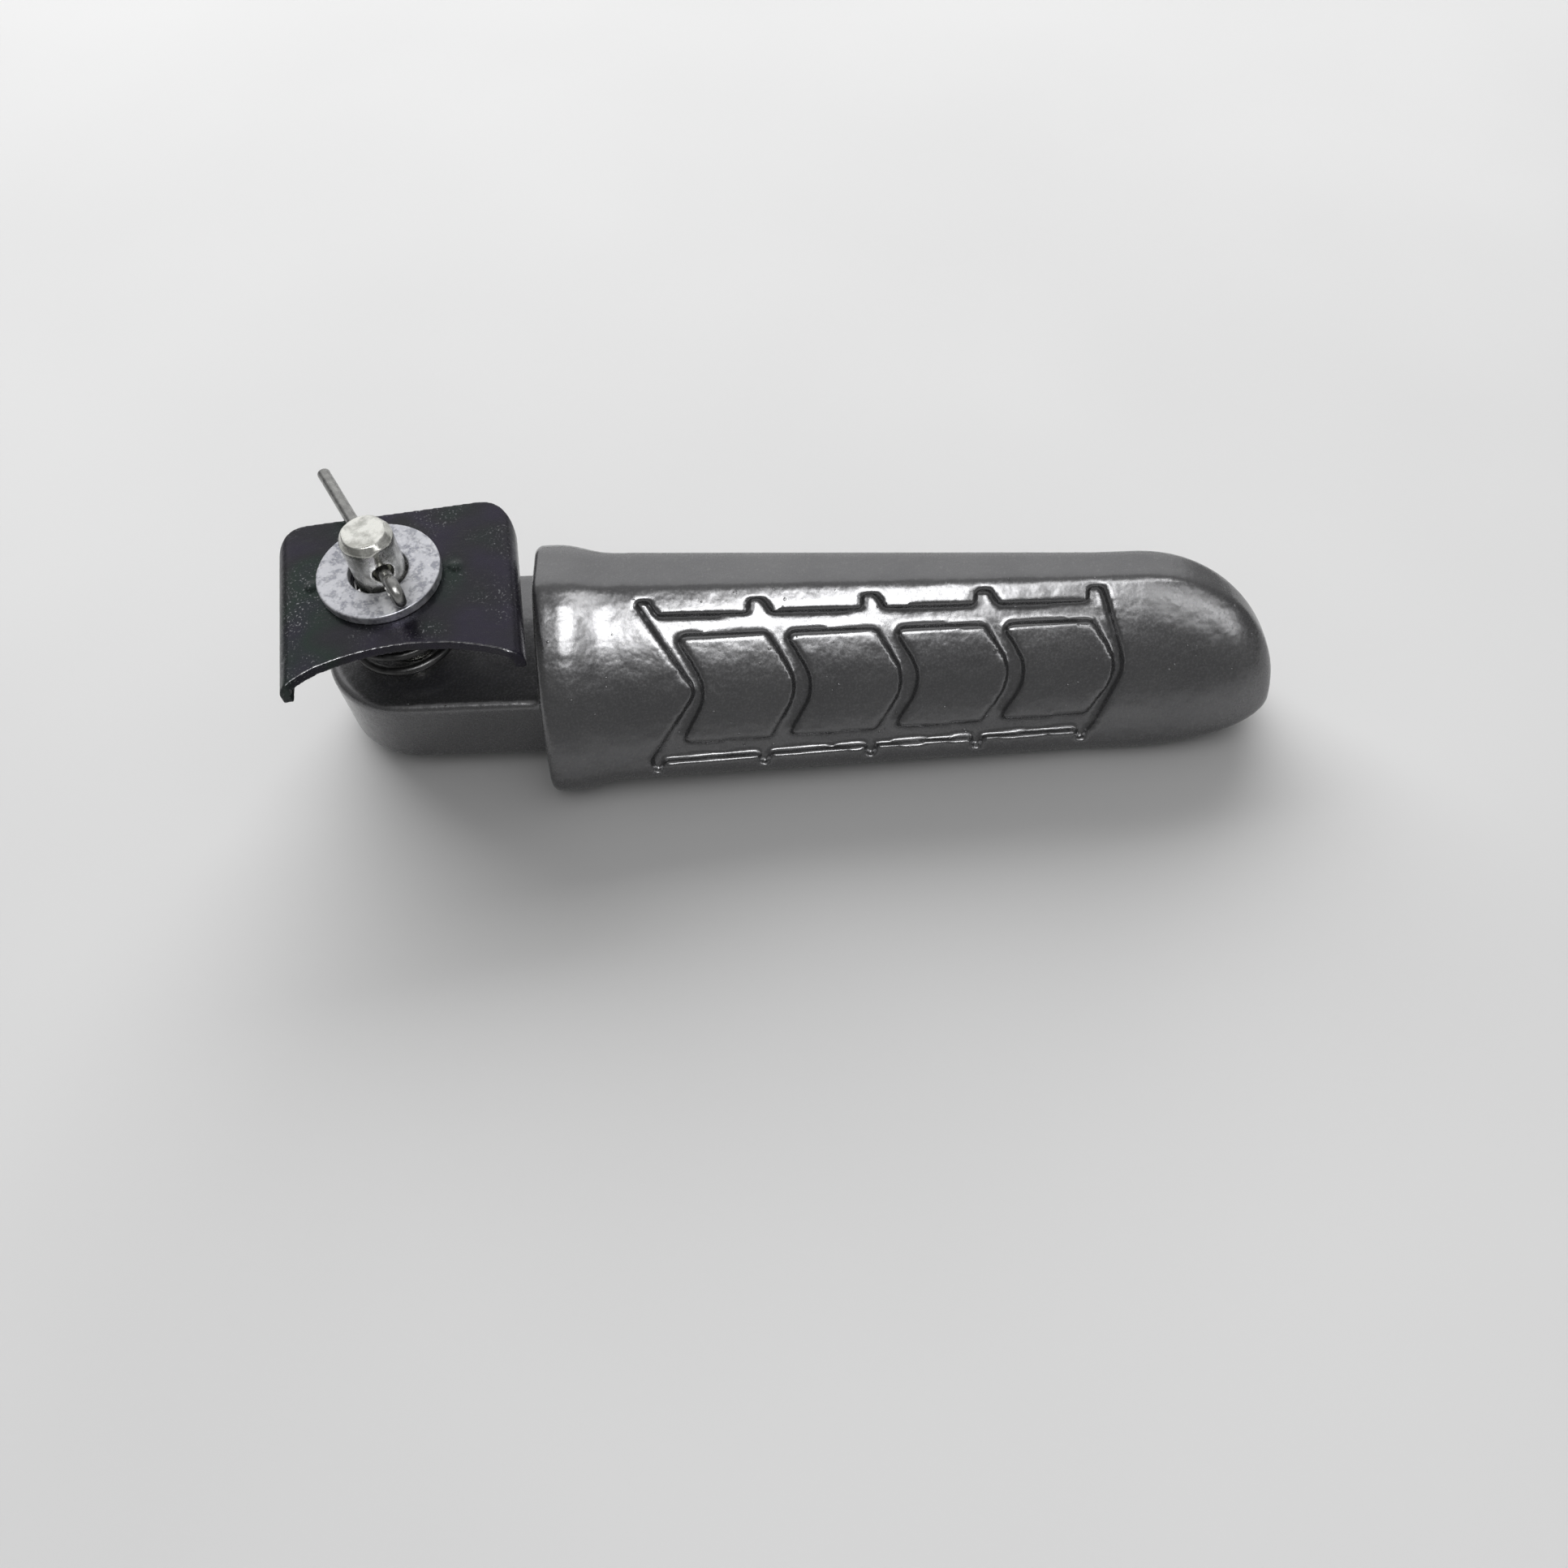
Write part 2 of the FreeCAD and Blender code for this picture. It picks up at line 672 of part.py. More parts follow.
for side in (-1, 1):
    for kind, radius in (("Additive", "plate_thickness + dimple_height"), ("Subtractive", "dimple_height")):
        dome = plate.newObject(f"PartDesign::{kind}Sphere", f"dimple_{kind.lower()}")
        dome.AttachmentSupport = (origin_feature(plate, "XY_Plane"), "")
        dome.MapMode = "FlatFace"
        dome.Angle1 = 0
        bind(dome, "Radius", radius)
        bind(dome, "AttachmentOffset.Base.x", f"{side} * dimple_spacing / 2")

# Coil spring with ground ends
coil = add_body("coil")
bind(coil, "Placement.Base.z", EYE_TOP)
wire = add_sketch(coil, "wire", "XZ_Plane")
add_circle(wire, "(spring_diameter - spring_wire) / 2", "0", "spring_wire / 2")
winding = coil.newObject("PartDesign::AdditiveHelix", "winding")
winding.Profile = wire
winding.ReferenceAxis = (origin_feature(coil, "Z_Axis"), [""])
winding.Mode = 0
bind(winding, "Pitch", "spring_pitch")
bind(winding, "Height", "spring_height")
grinding = doc.addObject("Part::Cylinder", "grinding")
bind(grinding, "Radius", "spring_diameter")
bind(grinding, "Height", "spring_height")
bind(grinding, "Placement.Base.z", EYE_TOP)
spring = doc.addObject("Part::Common", "coil_spring")
spring.Base = coil
spring.Tool = grinding

# Cotter pin of half-round wire, folded to an eye with its two legs side by side
cotter = add_body("cotter_pin")
bind(cotter, "Placement.Base.z", COTTER_LEVEL)
bind(cotter, "Placement.Rotation.Angle", "cotter_turn")
LEG_Z = "(cotter_split / 2)"
ROUND = "(cotter_neck + cotter_eye)"
EYE_X = "(cotter_reach - cotter_radius - cotter_eye)"
NECK_STEP = f"sqrt({ROUND}^2 - ({LEG_Z} + cotter_neck)^2)"
NECK_X = f"({EYE_X} - {NECK_STEP})"
TOUCH_X = f"{NECK_X} + {NECK_STEP} * cotter_neck / {ROUND}"
TOUCH_Z = f"({LEG_Z} + cotter_neck) * cotter_eye / {ROUND}"
fold = add_sketch(cotter, "fold", "XZ_Plane")
fold_line = (
    ("-cotter_leg", LEG_Z),
    (NECK_X, LEG_Z),
    (TOUCH_X, TOUCH_Z),
    (TOUCH_X, f"-{TOUCH_Z}"),
    (NECK_X, f"-{LEG_Z}"),
    ("-cotter_leg", f"-{LEG_Z}"),
)
fold_arcs = {
    1: ("cotter_neck", 1, False),
    2: ("cotter_eye", -1, True),
    3: ("cotter_neck", 1, False),
}
add_outline(fold, fold_line, fold_arcs, closed=False)
half_round = add_sketch(cotter, "half_round", "YZ_Plane", "-cotter_leg")
wire_circle = Part.Circle(Vector(0, value(LEG_Z), 0), Vector(0, 0, 1), value("cotter_radius"))
arc = Part.ArcOfCircle(wire_circle, 0, math.pi)
bow = half_round.addGeometry(arc)
chord = half_round.addGeometry(Part.LineSegment(arc.EndPoint, arc.StartPoint))
fix_point(half_round, bow, 3, "0", LEG_Z)
constrain(half_round, "Radius", bow, formula="cotter_radius")
half_round.addConstraint(Sketcher.Constraint("Coincident", bow, 2, chord, 1))
half_round.addConstraint(Sketcher.Constraint("Coincident", chord, 2, bow, 1))
constrain(half_round, "DistanceY", -1, 1, chord, 1, formula=LEG_Z)
constrain(half_round, "DistanceY", -1, 1, chord, 2, formula=LEG_Z)
bend = cotter.newObject("PartDesign::AdditivePipe", "bend")
bend.Profile = half_round
bend.Spine = (fold, [""])

doc.recompute()
for item in doc.Objects:
    if "Invalid" in item.State or "Error" in item.State:
        raise RuntimeError(f"{item.Label} did not build: {item.State}")

os.makedirs("parts", exist_ok=True)
for item in (casting, pin, washer, plate, spring, cotter):
    if item.Shape.isNull() or not item.Shape.isValid() or len(item.Shape.Solids) != 1:
        raise RuntimeError(f"{item.Label} is not one sound solid")
    item.Shape.exportStep(f"parts/{item.Label}.step")
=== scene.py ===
# %% [markdown]
# # A motorcycle's rear footpeg
# The footpeg is a painted casting with a chevron tread. A clevis pin stands in its tongue and holds a spring,
# a pressed plate, a washer and a split cotter pin. The CAD model gives every place and size, so this lesson
# only makes the pieces look real: soft cast edges, a beaten pin end, plating bare on its front edge with a
# painted highlight there, and a spangled washer.

# %% Load the frame
import math

import bpy
from mathutils import Matrix, Quaternion, Vector, noise


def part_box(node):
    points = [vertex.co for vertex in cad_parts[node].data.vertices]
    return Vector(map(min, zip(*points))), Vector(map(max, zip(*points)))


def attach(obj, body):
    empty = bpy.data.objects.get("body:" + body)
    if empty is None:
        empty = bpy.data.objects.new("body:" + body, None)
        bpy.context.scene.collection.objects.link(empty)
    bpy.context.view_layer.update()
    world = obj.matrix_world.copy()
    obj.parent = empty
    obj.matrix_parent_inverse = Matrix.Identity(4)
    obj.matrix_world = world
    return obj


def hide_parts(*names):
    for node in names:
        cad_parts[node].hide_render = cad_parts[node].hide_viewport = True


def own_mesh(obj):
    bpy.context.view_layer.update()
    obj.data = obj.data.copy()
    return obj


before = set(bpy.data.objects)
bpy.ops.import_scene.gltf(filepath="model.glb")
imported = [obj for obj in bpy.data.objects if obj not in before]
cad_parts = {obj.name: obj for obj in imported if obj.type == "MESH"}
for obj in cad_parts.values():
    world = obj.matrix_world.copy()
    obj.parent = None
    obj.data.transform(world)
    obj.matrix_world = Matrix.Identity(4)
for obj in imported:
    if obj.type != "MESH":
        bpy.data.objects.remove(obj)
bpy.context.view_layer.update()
MM = 0.001


# %% [markdown]
# ## The camera
# The photograph was taken from close by, from the front and above. A camera can be turned by angles or made
# to track a target. This viewpoint was worked out, so three axes say it best: right, up and back.

# %% Camera
CAMERA_SPOT = (0.06071, -0.12681, 0.17565)
right_axis = Vector((0.99931, -0.03179, -0.01926))
up_axis = Vector((0.03717, 0.85470, 0.51779))
back_axis = Vector((0.0, -0.51815, 0.85529))
camera_data = bpy.data.cameras.new("camera")
camera_data.sensor_width = 36.0
camera_data.lens = 27.95
camera_data.clip_start = 0.005
camera_data.clip_end = 20.0
camera = bpy.data.objects.new("camera", camera_data)
bpy.context.collection.objects.link(camera)
turn = Matrix((right_axis, up_axis, back_axis)).transposed().to_4x4()
camera.matrix_world = Matrix.Translation(CAMERA_SPOT) @ turn
bpy.context.scene.camera = camera
bpy.context.scene.view_settings.view_transform = "Standard"
print("camera is", round(camera.location.length, 3), "m from the pin")

# %% [markdown]
# ## Nodes in few words
# Every finish below is a small tree of nodes. One helper sets or links a node's inputs, one adds a node and
# one adds a colour ramp, so that a finish reads as a list of what it is made of. Patterns are measured in
# millimetres: Object coordinates are in metres, so they are scaled up by a thousand.

# %% Node helpers
def set_inputs(tree, node, inputs):
    """Gives each named input of a node a value, or links it to another node's output."""
    for key, source in inputs.items():
        if isinstance(source, bpy.types.NodeSocket):
            tree.links.new(source, node.inputs[key])
        else:
            node.inputs[key].default_value = source


def add_node(tree, kind, inputs, **settings):
    """Adds a node with its settings and inputs."""
    node = tree.nodes.new(kind)
    for key, setting in settings.items():
        setattr(node, key, setting)
    set_inputs(tree, node, inputs)
    return node


def add_ramp(tree, source, stops):
    """Adds a colour ramp with stops of (place, grey) or (place, (red, green, blue))."""
    ramp = add_node(tree, "ShaderNodeValToRGB", {"Fac": source})
    while len(ramp.color_ramp.elements) < len(stops):
        ramp.color_ramp.elements.new(0.5)
    for element, (place, shade) in zip(ramp.color_ramp.elements, stops):
        element.position = place
        element.color = (*shade, 1.0) if isinstance(shade, tuple) else (shade, shade, shade, 1.0)
    return ramp.outputs["Color"]


def add_noise(tree, place, scale, detail=2.0, roughness=0.5):
    """Adds a noise pattern with so many waves in a millimetre."""
    inputs = {"Vector": place, "Scale": scale, "Detail": detail, "Roughness": roughness}
    return add_node(tree, "ShaderNodeTexNoise", inputs).outputs["Fac"]


# %% Finish helpers
def new_finish(name):
    """Starts a finish and gives its material, tree, shader and a millimetre coordinate."""
    material = bpy.data.materials.new(name)
    material.use_nodes = True
    tree = material.node_tree
    shader = tree.nodes["Principled BSDF"]
    place = tree.nodes.new("ShaderNodeTexCoord").outputs["Object"]
    scaled = add_node(tree, "ShaderNodeVectorMath", {0: place, "Scale": 1.0 / MM}, operation="SCALE")
    print("finish:", name)
    return material, tree, shader, scaled.outputs["Vector"]


def add_bumps(tree, shader, *layers):
    """Stacks bump layers of (height, depth in metres) on the shader's normal."""
    below = {}
    for height, depth in layers:
        inputs = {"Height": height, "Distance": depth, "Strength": 1.0}
        bump = add_node(tree, "ShaderNodeBump", {**inputs, **below})
        below = {"Normal": bump.outputs["Normal"]}
    set_inputs(tree, shader, below)


MIX_FIRST, MIX_SECOND, MIX_RESULT = 6, 7, 2


def mix_shades(tree, share, first, second):
    """Mixes two colours by a share. A colour is another node's output or (red, green, blue)."""
    mixed = add_node(tree, "ShaderNodeMix", {"Factor": share}, data_type="RGBA")
    for key, shade in ((MIX_FIRST, first), (MIX_SECOND, second)):
        set_inputs(tree, mixed, {key: (*shade, 1.0) if isinstance(shade, tuple) else shade})
    return mixed.outputs[MIX_RESULT]


# %% [markdown]
# ## Floor and light
# The footpeg lies on a pale table. A wide, low window stands behind it, so its shadow falls towards the
# viewer. Paint and plating mirror what is around them, so the other lamps are seen in gloss alone: a broad
# sky behind, a small one in front for the bright band on the tread and two slim ones to the right. That puts
# each highlight in its place without a second shadow. The room is a plain grey, lighter above and behind
# than in front.

# %% Floor
FLOOR_REACH = 3.0
FLOOR_DROP = -0.02 * MM
corner_signs = [(-1, -1), (1, -1), (1, 1), (-1, 1)]
floor_spots = [(FLOOR_REACH * x, FLOOR_REACH * y, FLOOR_DROP) for x, y in corner_signs]
floor_mesh = bpy.data.meshes.new("floor")
floor_mesh.from_pydata(floor_spots, [], [(0, 1, 2, 3)])
floor = bpy.data.objects.new("floor", floor_mesh)
bpy.context.collection.objects.link(floor)


def make_table_top():
    """Makes the table's pale, dull finish with faint clouds."""
    table_top, tree, shader, place = new_finish("table_top")
    shade = add_ramp(tree, add_noise(tree, place, 0.01), [(0.3, 0.74), (0.7, 0.77)])
    set_inputs(tree, shader, {"Base Color": shade, "Roughness": 0.55, "Specular IOR Level": 0.2})
    return table_top


floor_mesh.materials.append(make_table_top())
print("floor reaches", FLOOR_REACH, "m each way")

# %% Lamps
BAR_MIDDLE = Vector((0.065, -0.005, 0.012))


def add_lamp(name, bearing, height, distance, size, power, roll=0.0):
    """Adds an area lamp of (width, height) that shines on the bar.

    Bearing (0 in front, 90 to the right) and height are degrees seen from the bar. Roll turns the lamp.
    """
    across, up = math.radians(bearing), math.radians(height)
    away = Vector((math.sin(across) * math.cos(up), -math.cos(across) * math.cos(up), math.sin(up)))
    lamp_data = bpy.data.lights.new(name, "AREA")
    lamp_data.shape = "RECTANGLE"
    lamp_data.size, lamp_data.size_y = size
    lamp_data.energy = power
    lamp = bpy.data.objects.new(name, lamp_data)
    bpy.context.collection.objects.link(lamp)
    lamp.location = BAR_MIDDLE + away * distance
    lamp.rotation_mode = "QUATERNION"
    rolled = Quaternion((0.0, 0.0, 1.0), math.radians(roll))
    lamp.rotation_quaternion = (-away).to_track_quat("-Z", "Y") @ rolled
    return lamp


window_lamp = add_lamp("window_lamp", 190.0, 28.0, 2.0, (3.2, 0.96), 66.0)
window_lamp.visible_glossy = False
gloss_lamps = [
    add_lamp("sky_lamp", 185.0, 40.0, 2.0, (4.0, 2.6), 20.0),
    add_lamp("front_lamp", 5.5, 53.0, 0.9, (0.34, 0.24), 3.9),
    add_lamp("side_lamp", 52.0, 33.0, 0.9, (0.62, 0.12), 1.2, -45.0),
    add_lamp("rim_lamp", 42.0, 60.0, 0.9, (0.55, 0.14), 1.6),
]
for lamp in gloss_lamps:
    lamp.visible_diffuse = False
print("lamps:", [lamp.name for lamp in (window_lamp, *gloss_lamps)])

# %% Room
ROOM_TOP = (0.0, 0.55, 0.83)
world = bpy.data.worlds.new("room")
bpy.context.scene.world = world
world.use_nodes = True
room = world.node_tree
direction = add_node(room, "ShaderNodeTexCoord", {}).outputs["Generated"]
upward = add_node(room, "ShaderNodeVectorMath", {0: direction, 1: ROOM_TOP}, operation="DOT_PRODUCT")
level_inputs = {"Value": upward.outputs["Value"], "From Min": -0.6, "From Max": 1.0}
level = add_node(room, "ShaderNodeMapRange", level_inputs).outputs["Result"]
room_shade = add_ramp(room, level, [(0.0, 0.28), (0.45, 0.19), (1.0, 0.55)])
set_inputs(room, room.nodes["Background"], {"Color": room_shade})
print("room is lightest towards", ROOM_TOP)

# %% [markdown]
# ## Softened copies
# Real cast, pressed and plated edges are never sharp. A bevel would need clean edge loops, which a CAD mesh
# lacks, so the casting, pin, washer and plate are softened copies of their nodes: the seams are welded, a
# voxel remesh spreads even small faces over them, and a few rounds of smoothing take the edges down by some
# tenths of a millimetre.

# %% Softening
SEAM = 0.001 * MM


def bake(piece):
    """Turns a piece's modifiers into plain mesh."""
    evaluated = piece.evaluated_get(bpy.context.evaluated_depsgraph_get())
    mesh = bpy.data.meshes.new_from_object(evaluated)
    piece.modifiers.clear()
    mesh.name = piece.name
    mesh.shade_smooth()
    piece.data = mesh


def add_smoothing(piece, rounds):
    """Adds a smoothing modifier to a piece."""
    smooth = piece.modifiers.new("smooth", "SMOOTH")
    smooth.factor = 0.5
    smooth.iterations = rounds
    return smooth


def softened_copy(node, name, voxel, rounds):
    """Gives a finely meshed copy of a CAD node with softened edges."""
    piece = bpy.data.objects.new(name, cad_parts[node].data.copy())
    bpy.context.collection.objects.link(piece)
    weld = piece.modifiers.new("weld", "WELD")
    weld.merge_threshold = SEAM
    remesh = piece.modifiers.new("remesh", "REMESH")
    remesh.mode = "VOXEL"
    remesh.voxel_size = voxel
    add_smoothing(piece, rounds)
    bake(piece)
    piece.data.materials.clear()
    return piece


# %% Placing
def count_triangles(piece):
    """Prints how many triangles a piece has."""
    triangles = sum(len(face.vertices) - 2 for face in piece.data.polygons)
    print(piece.name, "has", triangles, "triangles")


def place_piece(piece, material, node, body):
    """Gives a piece its finish and puts it on its body in place of its node."""
    piece.data.materials.append(material)
    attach(piece, body)
    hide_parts(node)
    count_triangles(piece)


# %% [markdown]
# ## The casting's paint
# The bar is aluminium under a satin, dark metallic paint. A plain metal would be too bright and a plain
# gloss too dull, so the paint is part metal under a clear coat. It lies over the rough casting, so three bump
# layers break up every highlight: a slow waviness, a fine grain and a scatter of pits. Flakes make small
# bright cells.

# %% Casting paint
DARK_PAINT = (0.126, 0.126, 0.130)
PALE_PAINT = (0.148, 0.148, 0.151)
PAINT_FLAKE = (0.175, 0.175, 0.175)


def make_cast_paint():
    """Makes the casting's satin metallic paint."""
    cast_paint, tree, shader, place = new_finish("cast_paint")
    clouds = add_ramp(tree, add_noise(tree, place, 0.08, 3.0), [(0.3, DARK_PAINT), (0.7, PALE_PAINT)])
    flakes = add_node(tree, "ShaderNodeTexVoronoi", {"Vector": place, "Scale": 4.0})
    flake_share = add_ramp(tree, flakes.outputs["Color"], [(0.80, 0.0), (0.95, 1.0)])
    shade = mix_shades(tree, flake_share, clouds, PAINT_FLAKE)
    waves = add_noise(tree, place, 0.35, 2.0)
    grain = add_noise(tree, place, 2.6, 3.0, 0.6)
    gloss = add_ramp(tree, grain, [(0.3, 0.20), (0.7, 0.32)])
    pits = add_node(tree, "ShaderNodeTexVoronoi", {"Vector": place, "Scale": 0.3})
    pit_depth = add_ramp(tree, pits.outputs["Distance"], [(0.0, 0.0), (0.07, 1.0)])
    set_inputs(tree, shader, {"Base Color": shade, "Metallic": 0.65, "Roughness": gloss})
    set_inputs(tree, shader, {"Coat Weight": 0.4, "Coat Roughness": 0.16})
    add_bumps(tree, shader, (waves, 0.13 * MM), (grain, 0.009 * MM), (pit_depth, 0.012 * MM))
    return cast_paint


cast_paint = make_cast_paint()

# %% [markdown]
# ## The cast bar and tongue
# In the CAD model the collar falls to the bar in a straight flank. A pattern maker would round such a flank
# with wax, so here the vertices move along the section's normal until the flank is a soft wave. The collar
# and the tread, which feet polish, are then smoothed a little more than the rest.

# %% Zones of the casting
TREAD_SPOT = Vector((36.0, -8.7, 15.4)) * MM
TREAD_NORMAL = Vector((0.035, -0.777, 0.629))
COLLAR_ZONE = (26.0 * MM, 37.0 * MM)
COLLAR_RISE = 1.5 * MM
COLLAR_FLANK = (27.5 * MM, 33.5 * MM)
COLLAR_BLEND = (26.2 * MM, 34.4 * MM)


def on_tread(vertex):
    """Tells whether a vertex lies on the sloping tread, between the collar and the nose."""
    return vertex.co.x > TREAD_SPOT.x and (vertex.co - TREAD_SPOT).dot(TREAD_NORMAL) > 0.0


def on_collar(vertex):
    """Tells whether a vertex lies on the collar's flank or just beside it."""
    return COLLAR_ZONE[0] < vertex.co.x < COLLAR_ZONE[1]


def share_between(place, limits):
    """Gives how far a place has come between two limits, from 0 to 1."""
    return min(max((place - limits[0]) / (limits[1] - limits[0]), 0.0), 1.0)


def blend_collar(vertex, normal):
    """Turns the collar's straight flank into a soft wave by moving one vertex along its section's normal."""
    straight = share_between(vertex.co.x, COLLAR_FLANK)
    soft = share_between(vertex.co.x, COLLAR_BLEND)
    soft_step = soft * soft * (3.0 - 2.0 * soft)
    outward = Vector((0.0, normal.y, normal.z))
    if outward.length > 0.5:
        vertex.co += outward.normalized() * (straight - soft_step) * COLLAR_RISE


def smooth_more(piece, chosen, rounds):
    """Smooths those vertices of a piece further that pass a test."""
    zone = piece.vertex_groups.new(name="zone")
    zone.add([vertex.index for vertex in piece.data.vertices if chosen(vertex)], 1.0, "REPLACE")
    add_smoothing(piece, rounds).vertex_group = zone.name
    bake(piece)
    piece.vertex_groups.clear()


# %% Casting
casting = softened_copy("peg_casting", "footpeg_casting", voxel=0.45 * MM, rounds=3)
casting_normals = [vertex.normal.copy() for vertex in casting.data.vertices]
for vertex, normal in zip(casting.data.vertices, casting_normals):
    blend_collar(vertex, normal)
smooth_more(casting, on_collar, rounds=10)
smooth_more(casting, on_tread, rounds=4)
place_piece(casting, cast_paint, "peg_casting", "footpeg")

# %% [markdown]
# ## Nibs in the paint
# Sand and spray leave small nibs on the casting. They repeat over a surface, so Geometry Nodes scatter them:
# points on the faces that look forwards and up, as the tread does, each with a small dome sunk half into
# the paint.

# %% Geometry tree helpers
def new_tree(name, inputs, output):
    """Starts a node tree with named inputs and one output, and gives the tree and its inputs."""
    tree = bpy.data.node_groups.new(name, "GeometryNodeTree")
    for label, kind in inputs.items():
        tree.interface.new_socket(label, in_out="INPUT", socket_type=f"NodeSocket{kind}")
    tree.interface.new_socket(output, in_out="OUTPUT", socket_type="NodeSocketGeometry")
    return tree, tree.nodes.new("NodeGroupInput").outputs


def end_tree(tree, output, geometry, material):
    """Ends a node tree: its instances become real mesh and get their material."""
    solid = add_node(tree, "GeometryNodeRealizeInstances", {"Geometry": geometry}).outputs["Geometry"]
    dressed = add_node(tree, "GeometryNodeSetMaterial", {"Geometry": solid, "Material": material})
    add_node(tree, "NodeGroupOutput", {output: dressed.outputs["Geometry"]})


def grown_mesh(name, base_mesh, tree, settings):
    """Runs a node tree on a mesh and gives the result as a plain object."""
    piece = bpy.data.objects.new(name, base_mesh)
    bpy.context.collection.objects.link(piece)
    growth = piece.modifiers.new("growth", "NODES")
    growth.node_group = tree
    for item in tree.interface.items_tree:
        if item.in_out == "INPUT" and item.name in settings:
            growth[item.identifier] = settings[item.name]
    bake(piece)
    count_triangles(piece)
    return piece


# %% Nib tree
NIB_FACING = (0.0, -0.7, 0.7)
LEAST_FACING = 0.8
SMALLEST_NIB = (0.45, 0.45, 0.2)
LARGEST_NIB = (1.2, 1.2, 0.5)


def build_nib_tree():
    """Builds the node tree that scatters nibs over a surface."""
    sockets = {
        "Surface": "Geometry",
        "Density": "Float",
        "Radius": "Float",
        "Seed": "Int",
        "Paint": "Material",
    }
    tree, given = new_tree("paint_nibs", sockets, "Nibs")
    normal = add_node(tree, "GeometryNodeInputNormal", {}).outputs["Normal"]
    facing = add_node(tree, "ShaderNodeVectorMath", {0: normal, 1: NIB_FACING}, operation="DOT_PRODUCT")
    facing_inputs = {0: facing.outputs["Value"], 1: LEAST_FACING}
    chosen = add_node(tree, "FunctionNodeCompare", facing_inputs, operation="GREATER_THAN")
    scatter_inputs = {
        "Mesh": given["Surface"],
        "Selection": chosen.outputs["Result"],
        "Density": given["Density"],
        "Seed": given["Seed"],
    }
    scatter = add_node(tree, "GeometryNodeDistributePointsOnFaces", scatter_inputs)
    dome = add_node(tree, "GeometryNodeMeshIcoSphere", {"Radius": given["Radius"], "Subdivisions": 2})
    size_inputs = {0: SMALLEST_NIB, 1: LARGEST_NIB, "Seed": given["Seed"]}
    sizes = add_node(tree, "FunctionNodeRandomValue", size_inputs, data_type="FLOAT_VECTOR")
    nib_inputs = {
        "Points": scatter.outputs["Points"],
        "Instance": dome.outputs["Mesh"],
        "Rotation": scatter.outputs["Rotation"],
        "Scale": sizes.outputs[0],
    }
    nibs = add_node(tree, "GeometryNodeInstanceOnPoints", nib_inputs)
    end_tree(tree, "Nibs", nibs.outputs["Instances"], given["Paint"])
    return tree


# %% Nibs
nib_settings = {"Density": 24000.0, "Radius": 0.24 * MM, "Seed": 7, "Paint": cast_paint}
nibs = grown_mesh("casting_nibs", casting.data.copy(), build_nib_tree(), nib_settings)
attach(nibs, "footpeg")

# %% [markdown]
# ## The clevis pin
# The pin is bright zinc on steel, patchy and a little dented. Its upper end was cut and beaten, so the rim is
# uneven and the face dished. That could be sculpted by hand. Smooth noise pushes the vertices near the top
# down instead, which a script can repeat.

# %% Zinc finish
DULL_ZINC = (0.42, 0.42, 0.39)
BRIGHT_ZINC = (0.72, 0.72, 0.68)


def make_zinc_steel():
    """Makes the pin's patchy bright zinc."""
    zinc_steel, tree, shader, place = new_finish("zinc_steel")
    shade = add_ramp(tree, add_noise(tree, place, 0.5, 3.0), [(0.40, DULL_ZINC), (0.58, BRIGHT_ZINC)])
    gloss = add_ramp(tree, add_noise(tree, place, 1.5, 3.0), [(0.3, 0.20), (0.7, 0.32)])
    set_inputs(tree, shader, {"Base Color": shade, "Metallic": 1.0, "Roughness": gloss})
    add_bumps(tree, shader, (add_noise(tree, place, 0.8, 2.0), 0.04 * MM))
    return zinc_steel


# %% Pin
PIN_RADIUS = 4.0 * MM
BEATEN_LENGTH = 2.4 * MM
BLOW_SHIFT = Vector((5.0, 0.0, 0.0))
DISH_SHIFT = Vector((0.0, 3.0, 0.0))
pin = softened_copy("clevis_pin", "pivot_pin", voxel=0.2 * MM, rounds=3)
pin_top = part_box("clevis_pin")[1].z


def hammer(vertex):
    """Pushes one vertex of the pin's end down: a dished face with an uneven, beaten rim."""
    depth = pin_top - vertex.co.z
    if depth > BEATEN_LENGTH:
        return
    reach = math.hypot(vertex.co.x, vertex.co.y)
    around = Vector((vertex.co.x, vertex.co.y, 0.0)) / PIN_RADIUS
    rim = (0.80 + 0.10 * noise.noise(around * 1.7)) * PIN_RADIUS
    beaten = max(0.0, reach - rim) * (0.9 + 0.6 * noise.noise(around * 2.3 + BLOW_SHIFT))
    dish = (0.05 + 0.06 * noise.noise(around * 1.1 + DISH_SHIFT)) * MM
    fade = 1.0 - depth / BEATEN_LENGTH
    vertex.co.z -= max(0.0, beaten + dish) * fade


for vertex in pin.data.vertices:
    hammer(vertex)
place_piece(pin, make_zinc_steel(), "clevis_pin", "pin")

# %% [markdown]
# ## The washer
# Hot zinc freezes in flat crystals, the spangle. A Voronoi pattern gives the crystals, warped by noise so
# that their borders aren't straight, and each crystal takes its own grey. Leaves of noise lie over them,
# because on a small washer the crystals run into each other.

# %% Washer finish
DARK_CRYSTAL = (0.34, 0.345, 0.38)
PALE_CRYSTAL = (0.56, 0.565, 0.60)
DARK_LEAF = (0.21, 0.215, 0.25)
PALE_LEAF = (0.58, 0.585, 0.62)
BRIGHT_SPECK = (0.62, 0.62, 0.64)


